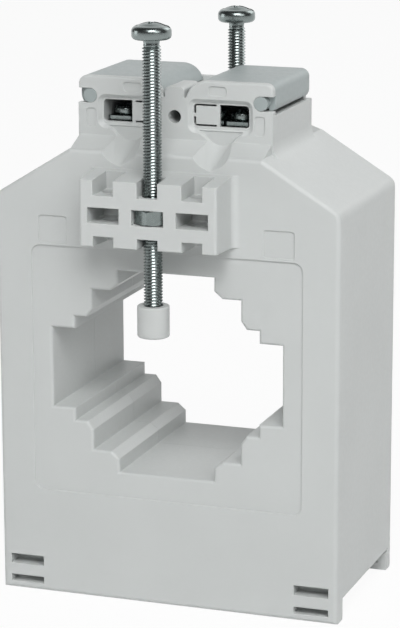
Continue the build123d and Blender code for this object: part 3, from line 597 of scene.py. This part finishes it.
@dataclass
class PanHead:
    """Rounded pan head with a slot and a cross recess.

    The sizes are in metres. The rounds, reaches and tapers are shares of the radius, of the
    dome's height or of the recess's own half width.
    """

    radius: float
    rim: float
    height: float
    neck_radius: float
    slot_half: float
    slot_deep: float
    cross_half: float
    cross_deep: float
    low_round: float = 0.20
    straight_side: float = 0.72
    shoulder: float = 0.30
    shoulder_rise: float = 0.62
    slot_reach: float = 1.3
    slot_taper: float = 0.94
    cross_reach: float = 0.55
    cross_reach_low: float = 0.30
    cross_taper: float = 0.7
    cross_wide: float = 1.5
    cross_wide_low: float = 0.8
    cutter_above: float = 0.5

    def outline(self, seat: float) -> list[tuple[float, float]]:
        """Gives the outline from the neck to the middle of the dome.

        Args:
            seat: Height of the head's underside.

        Returns:
            Radius and height of each circle, from the bottom up.
        """
        low_round = self.low_round * self.radius
        side_top = seat + self.rim * self.straight_side
        points = [(self.neck_radius, seat), (self.radius - low_round, seat)]
        for step in range(1, LOW_ROUND_STEPS + 1):
            turn = math.pi / 2 * step / LOW_ROUND_STEPS
            reach = self.radius - low_round * (1 - math.sin(turn))
            points.append((reach, seat + low_round * (1 - math.cos(turn))))
        points.append((self.radius, side_top))
        shoulder = self.shoulder * self.radius
        rise = self.height - self.rim * self.straight_side
        for step in range(1, SHOULDER_STEPS + 1):
            turn = math.pi / 2 * step / SHOULDER_STEPS
            reach = self.radius - shoulder * (1 - math.cos(turn))
            points.append((reach, side_top + self.shoulder_rise * rise * math.sin(turn)))
        crown = self.radius - shoulder
        for step in range(1, CROWN_STEPS + 1):
            share = step / CROWN_STEPS
            lift = self.shoulder_rise + (1 - self.shoulder_rise) * (1 - (1 - share) ** 2)
            points.append((crown * (1 - share), side_top + rise * lift))
        return points

    def recess(self, name: str, place: tuple[float, float, float], top: float) -> list[bpy.types.Object]:
        """Makes the cutters of the slot and the cross.

        Args:
            name: Start of the cutters' names.
            place: Where their origins go.
            top: Height of the top of the head.

        Returns:
            The cutters.
        """
        cutters = []
        slot, cross = self.slot_half, self.cross_half
        slot_reach = self.radius * self.slot_reach
        reach, reach_low = self.radius * self.cross_reach, self.radius * self.cross_reach_low
        wide, wide_low = cross * self.cross_wide, cross * self.cross_wide_low
        sizes = (
            ((slot, slot_reach), (slot * self.slot_taper, slot_reach), self.slot_deep),
            ((reach, cross), (reach_low, cross * self.cross_taper), self.cross_deep),
            ((wide, reach), (wide_low, reach_low), self.cross_deep),
        )
        above = top + self.cutter_above * self.radius
        for number, (half_top, half_low, deep) in enumerate(sizes, start=1):
            mesh = bmesh.new()
            tapered_block(mesh, half_top, half_low, top - deep, above)
            cutters.append(as_object(mesh, f"{name}_cutter_{number}", place))
        return cutters


@dataclass
class ThreadedScrew:
    """A machine screw with a real thread and a recessed head."""

    name: str
    body: str
    node: str
    thread: ThreadSize
    head: PanHead
    neck: float
    turned: float
    sharp: float = 70.0

    def build(self, finishes: Finishes) -> bpy.types.Object:
        """Builds the screw in the place of its CAD node.

        Args:
            finishes: The materials.

        Returns:
            The screw.
        """
        low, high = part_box(self.node)
        place = ((low.x + high.x) / 2, (low.y + high.y) / 2, 0.0)
        seat = high.z - self.head.height
        segments = self.thread.segments
        head = bmesh.new()
        lathe(head, [(0.0, seat), *self.head.outline(seat)], segments)
        top = as_object(head, f"{self.name}_head", place)
        for cutter in self.head.recess(self.name, place, high.z):
            carve(top, cutter)

        mesh = bmesh.new()
        mesh.from_mesh(top.data)
        lids = [face for face in mesh.faces if abs(face.calc_center_median().z - seat) < ON_LEVEL]
        inner = [face for face in lids if any(corner.co.xy.length < ON_AXIS for corner in face.verts)]
        bmesh.ops.delete(mesh, geom=inner, context="FACES")
        bpy.data.objects.remove(top)
        thread_top = seat - self.neck
        wind_thread(mesh, self.thread, low.z, thread_top)
        lathe(mesh, [(0.0, low.z), (self.thread.tip_radius(), low.z)], segments)
        lathe(mesh, [(self.thread.root_radius, thread_top), (self.head.neck_radius, seat)], segments)
        mesh.transform(Matrix.Rotation(self.turned, 4, "Z"))
        screw = as_object(mesh, self.name, place, sharp=self.sharp)
        finishes.dress(screw, "zinc_steel")
        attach(screw, self.body)
        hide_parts(self.node)
        LOG.info("%s: %d faces", self.name, len(screw.data.polygons))
        return screw


@dataclass
class HexNut:
    """Chamfered hexagon nut with a plain, countersunk bore, held in a bracket pocket."""

    name: str
    node: str
    thread: ThreadSize
    chamfer: float = 0.45 * MM
    face_share: float = 0.97
    bore_gap: float = 0.05 * MM
    mouth: float = 0.35 * MM
    sharp: float = 25.0
    round_segments: int = 96
    bore_segments: int = 48

    def build(self, finishes: Finishes) -> bpy.types.Object:
        """Builds the nut in the place of its CAD node.

        Args:
            finishes: The materials.

        Returns:
            The nut.
        """
        low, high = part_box(self.node)
        place = ((low.x + high.x) / 2, (low.y + high.y) / 2, 0.0)
        flats = (high.x - low.x) / 2
        corner = (high.y - low.y) / 2
        blank = bmesh.new()
        corners = [TURN * (step + 0.5) / 6 for step in range(6)]
        true_corner = flats / math.cos(math.pi / 6)
        points = [(true_corner * math.cos(turn), true_corner * math.sin(turn)) for turn in corners]
        under = [blank.verts.new((*point, low.z)) for point in points]
        over = [blank.verts.new((*point, high.z)) for point in points]
        blank.faces.new(tuple(reversed(under)))
        blank.faces.new(tuple(over))
        for step in range(6):
            after = (step + 1) % 6
            blank.faces.new((under[step], under[after], over[after], over[step]))
        nut = as_object(blank, self.name, place)

        rounded = bmesh.new()
        outline = [
            (0.0, low.z),
            (flats * self.face_share, low.z),
            (corner, low.z + self.chamfer),
            (corner, high.z - self.chamfer),
            (flats * self.face_share, high.z),
            (0.0, high.z),
        ]
        lathe(rounded, outline, self.round_segments)
        carve(nut, as_object(rounded, f"{self.name}_cone", place), "INTERSECT")

        bore = bmesh.new()
        radius = self.thread.crest_radius + self.bore_gap
        outline = [
            (0.0, low.z - MM),
            (radius + self.mouth + MM, low.z - MM),
            (radius, low.z + self.mouth),
            (radius, high.z - self.mouth),
            (radius + self.mouth + MM, high.z + MM),
            (0.0, high.z + MM),
        ]
        lathe(bore, outline, self.bore_segments)
        carve(nut, as_object(bore, f"{self.name}_bore", place))
        nut.data.shade_smooth()
        nut.data.set_sharp_from_angle(angle=math.radians(self.sharp))
        finishes.dress(nut, "zinc_steel")
        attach(nut, "case")
        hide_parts(self.node)
        LOG.info("%s: %d faces", self.name, len(nut.data.polygons))
        return nut


@dataclass
class Case:
    """Case shell, rear cover and everything sealed inside them."""

    plastic_nodes: tuple[str, ...] = ("case_shell", "rear_cover")
    inner_nodes: tuple[tuple[str, str], ...] = (
        ("winding", "copper_wire"),
        ("lead_1", "copper_wire"),
        ("lead_2", "copper_wire"),
        ("core_tray", "tray_black"),
        ("core_lid", "tray_black"),
        ("core_ring", "core_steel"),
    )

    def build(self, finishes: Finishes) -> None:
        """Dresses the case and the coil.

        Args:
            finishes: The materials.
        """
        for name in self.plastic_nodes:
            finishes.dress(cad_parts[name], "case_grey")
            LOG.info("%s dressed", name)
        for name, slot in self.inner_nodes:
            finishes.dress(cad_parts[name], slot)
            LOG.info("%s dressed", name)


@dataclass
class Terminals:
    """Terminal bars, clamping plates, clamp screws and the two hinged covers."""

    thread: ThreadSize = ThreadSize(1.95 * MM, 1.60 * MM, 0.7 * MM, 40)
    head: PanHead = field(
        default_factory=lambda: PanHead(
            radius=3.1 * MM,
            rim=1.9 * MM,
            height=2.7 * MM,
            neck_radius=1.6 * MM,
            slot_half=0.5 * MM,
            slot_deep=1.1 * MM,
            cross_half=0.5 * MM,
            cross_deep=1.6 * MM,
        )
    )
    neck: float = 0.6 * MM
    turned: tuple[float, ...] = (0.5, 1.1, 0.2, 0.85)

    def build(self, finishes: Finishes) -> None:
        """Dresses the bars, plates and covers and builds the clamp screws.

        Args:
            finishes: The materials.
        """
        for side in Side:
            name = side.value
            finishes.dress(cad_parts[f"terminal_bar_{name}"], "terminal_brass")
            finishes.dress(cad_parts[f"terminal_cover_{name}"], "cover_grey")
            LOG.info("%s terminal bar and cover dressed", name)
        for number, turned in enumerate(self.turned, start=1):
            finishes.dress(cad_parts[f"clamp_plate_{number}"], "zinc_steel")
            node = f"clamp_screw_{number}"
            name = f"clamp_screw_threaded_{number}"
            ThreadedScrew(name, node, node, self.thread, self.head, self.neck, turned).build(finishes)


@dataclass
class BusbarClamp:
    """One long screw with its nut and its insulating cap."""

    place: Place
    thread: ThreadSize = ThreadSize(2.45 * MM, 2.02 * MM, 0.8 * MM)
    head: PanHead = field(
        default_factory=lambda: PanHead(
            radius=5.1 * MM,
            rim=2.8 * MM,
            height=4.4 * MM,
            neck_radius=2.2 * MM,
            slot_half=0.6 * MM,
            slot_deep=1.5 * MM,
            cross_half=0.65 * MM,
            cross_deep=2.3 * MM,
        )
    )
    neck: float = 1.2 * MM
    turned: float = 1.75

    def build(self, finishes: Finishes) -> None:
        """Builds the screw and the nut and dresses the cap.

        Args:
            finishes: The materials.
        """
        name = self.place.value
        screw = ThreadedScrew(
            f"busbar_screw_threaded_{name}",
            f"screw_{name}",
            f"busbar_screw_{name}",
            self.thread,
            self.head,
            self.neck,
            self.turned,
        )
        screw.build(finishes)
        HexNut(f"busbar_nut_faced_{name}", f"busbar_nut_{name}", self.thread).build(finishes)
        finishes.dress(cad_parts[f"busbar_cap_{name}"], "cap_white")
        LOG.info("busbar_cap_%s dressed", name)


@dataclass
class SoftLight:
    """A square studio lamp that faces one point."""

    name: str
    place: tuple[float, float, float]
    width: float
    watts: float

    def build(self, target: Vector) -> None:
        """Adds the lamp.

        Args:
            target: The point that it faces.
        """
        lamp = bpy.data.lights.new(self.name, "AREA")
        lamp.size = self.width
        lamp.energy = self.watts
        piece = bpy.data.objects.new(self.name, lamp)
        piece.location = self.place
        piece.rotation_euler = (target - piece.location).to_track_quat("-Z", "Y").to_euler()
        bpy.context.scene.collection.objects.link(piece)
        LOG.info("lamp %s built", self.name)


@dataclass
class Studio:
    """Pale floor, soft lamps, surroundings and the camera."""

    target: Vector = field(default_factory=lambda: Vector((0.0, 0.0, 0.075)))
    floor_size: float = 6.0
    floor_drop: float = 0.02 * MM
    floor_grey: float = 0.80
    floor_shade: float = 0.99
    floor_white: float = 0.93
    floor_roughness: float = 0.9
    clouds_per_metre: float = 3.0
    room_tint: tuple[float, float, float] = (0.97, 1.0, 0.995)
    room_low: float = 0.21
    room_high: float = 0.27
    room_dark: float = 0.07
    room_turn: tuple[float, float] = (0.35, 0.70)
    lamps: tuple[SoftLight, ...] = (
        SoftLight("key", (0.42, -0.98, 1.15), 0.80, 16.4),
        SoftLight("fill", (1.15, -0.85, 0.77), 0.70, 4.4),
        SoftLight("back", (0.62, 1.05, 0.95), 0.80, 3.4),
        SoftLight("edge", (-1.45, -0.28, 0.30), 0.60, 2.8),
    )
    camera_place: tuple[float, float, float] = (235.5 * MM, -653.8 * MM, 241.6 * MM)
    yaw: float = math.radians(19.78)
    pitch: float = math.radians(13.53)
    roll: float = math.radians(-0.18)
    focal_pixels: float = 2644.0
    sensor: float = 36.0
    clip: tuple[float, float] = (0.01, 50.0)

    def build(self) -> None:
        """Builds the floor, the lamps, the surroundings and the camera."""
        self.build_floor()
        for lamp in self.lamps:
            lamp.build(self.target)
        self.build_room()
        self.build_camera()

    def build_floor(self) -> None:
        """Adds the floor: white where it is seen, with the object's shadow left faintly in it."""
        mesh = bmesh.new()
        half = self.floor_size / 2
        corners = [mesh.verts.new((x * half, y * half, 0)) for x, y in ((-1, -1), (1, -1), (1, 1), (-1, 1))]
        mesh.faces.new(corners)
        floor = as_object(mesh, "studio_floor", (0, 0, -self.floor_drop))
        graph = NodeGraph("studio_floor")
        where = graph.nodes.new("ShaderNodeTexCoord").outputs["Object"]
        clouds = graph.noise(where, self.clouds_per_metre, 2)
        shade = graph.spread(clouds, self.floor_grey * self.floor_shade, self.floor_grey)
        matt = graph.add("ShaderNodeBsdfPrincipled", Roughness=self.floor_roughness)
        graph.link(shade, matt.inputs["Base Color"])
        white = graph.add("ShaderNodeEmission", Color=(1, 1, 1, 1), Strength=1.0)
        share = graph.nodes.new("ShaderNodeMath")
        share.operation = "MULTIPLY"
        share.inputs[1].default_value = self.floor_white
        graph.link(self.seen(graph.nodes, graph.links), share.inputs[0])
        mix = graph.nodes.new("ShaderNodeMixShader")
        graph.link(share.outputs["Value"], mix.inputs["Fac"])
        graph.link(matt.outputs[0], mix.inputs[1])
        graph.link(white.outputs[0], mix.inputs[2])
        floor.data.materials.append(graph.finish(mix))
        LOG.info("floor built")

    @staticmethod
    def seen(nodes: bpy.types.Nodes, links: bpy.types.NodeLinks) -> bpy.types.NodeSocket:
        """Tells the rays that show the background from those that light the object.

        Args:
            nodes: Nodes of a material or of the world.
            links: Links of the same tree.

        Returns:
            A value of 1 for camera, glossy and transmitted rays.
        """
        rays = nodes.new("ShaderNodeLightPath")
        either = rays.outputs["Is Camera Ray"]
        for name in ("Is Glossy Ray", "Is Transmission Ray"):
            larger = nodes.new("ShaderNodeMath")
            larger.operation = "MAXIMUM"
            links.new(either, larger.inputs[0])
            links.new(rays.outputs[name], larger.inputs[1])
            either = larger.outputs["Value"]
        return either

    def build_room(self) -> None:
        """Sets the light from all round and the white background, with a dark room before the object."""
        world = bpy.data.worlds.new("room")
        world.use_nodes = True
        nodes, links = world.node_tree.nodes, world.node_tree.links
        nodes.clear()
        where = nodes.new("ShaderNodeTexCoord")
        parts = nodes.new("ShaderNodeSeparateXYZ")
        links.new(where.outputs["Generated"], parts.inputs["Vector"])

        def graded(axis: str, start: float, end: float, low: float, high: float) -> bpy.types.NodeSocket:
            """Gives a brightness that changes along one axis of the room.

            Args:
                axis: Name of the axis.
                start: Where on the axis the change starts.
                end: Where on the axis the change ends.
                low: Brightness at the start.
                high: Brightness at the end.

            Returns:
                The brightness.
            """
            grade = nodes.new("ShaderNodeMapRange")
            grade.inputs["From Min"].default_value = start
            grade.inputs["From Max"].default_value = end
            grade.inputs["To Min"].default_value = low
            grade.inputs["To Max"].default_value = high
            links.new(parts.outputs[axis], grade.inputs["Value"])
            return grade.outputs["Result"]

        room = nodes.new("ShaderNodeBackground")
        room.inputs["Color"].default_value = (*self.room_tint, 1)
        links.new(graded("Z", 0.0, 1.0, self.room_low, self.room_high), room.inputs["Strength"])
        backdrop = nodes.new("ShaderNodeBackground")
        backdrop.inputs["Color"].default_value = (1, 1, 1, 1)
        rays = nodes.new("ShaderNodeLightPath")
        bright = nodes.new("ShaderNodeMath")
        bright.operation = "MAXIMUM"
        links.new(rays.outputs["Is Camera Ray"], bright.inputs[0])
        links.new(graded("Y", *self.room_turn, self.room_dark, 1.0), bright.inputs[1])
        links.new(bright.outputs["Value"], backdrop.inputs["Strength"])
        mix = nodes.new("ShaderNodeMixShader")
        output = nodes.new("ShaderNodeOutputWorld")
        links.new(self.seen(nodes, links), mix.inputs["Fac"])
        links.new(room.outputs[0], mix.inputs[1])
        links.new(backdrop.outputs[0], mix.inputs[2])
        links.new(mix.outputs[0], output.inputs["Surface"])
        bpy.context.scene.world = world
        LOG.info("room built")

    def build_camera(self) -> None:
        """Adds the camera at the photograph's viewpoint."""
        lens = bpy.data.cameras.new("photo_camera")
        lens.sensor_width = self.sensor
        lens.sensor_fit = "AUTO"
        lens.lens = self.focal_pixels * self.sensor / max(IMAGE_SIZE)
        lens.clip_start, lens.clip_end = self.clip
        forward = Vector(
            (
                -math.sin(self.yaw) * math.cos(self.pitch),
                math.cos(self.yaw) * math.cos(self.pitch),
                -math.sin(self.pitch),
            )
        )
        camera = bpy.data.objects.new("photo_camera", lens)
        turn = forward.to_track_quat("-Z", "Y").to_matrix() @ Matrix.Rotation(self.roll, 3, "Z")
        camera.matrix_world = Matrix.Translation(self.camera_place) @ turn.to_4x4()
        bpy.context.scene.collection.objects.link(camera)
        bpy.context.scene.camera = camera
        LOG.info("camera built")


def main() -> None:
    """Builds every piece, the studio and the camera in order."""
    logging.basicConfig(level=logging.INFO, format="%(name)s: %(message)s")
    bpy.context.scene.view_settings.view_transform = "Standard"
    finishes = Finishes()
    finishes.build()
    Case().build(finishes)
    Terminals().build(finishes)
    for place in Place:
        BusbarClamp(place).build(finishes)
    Studio().build()


if __name__ == "__main__":
    main()
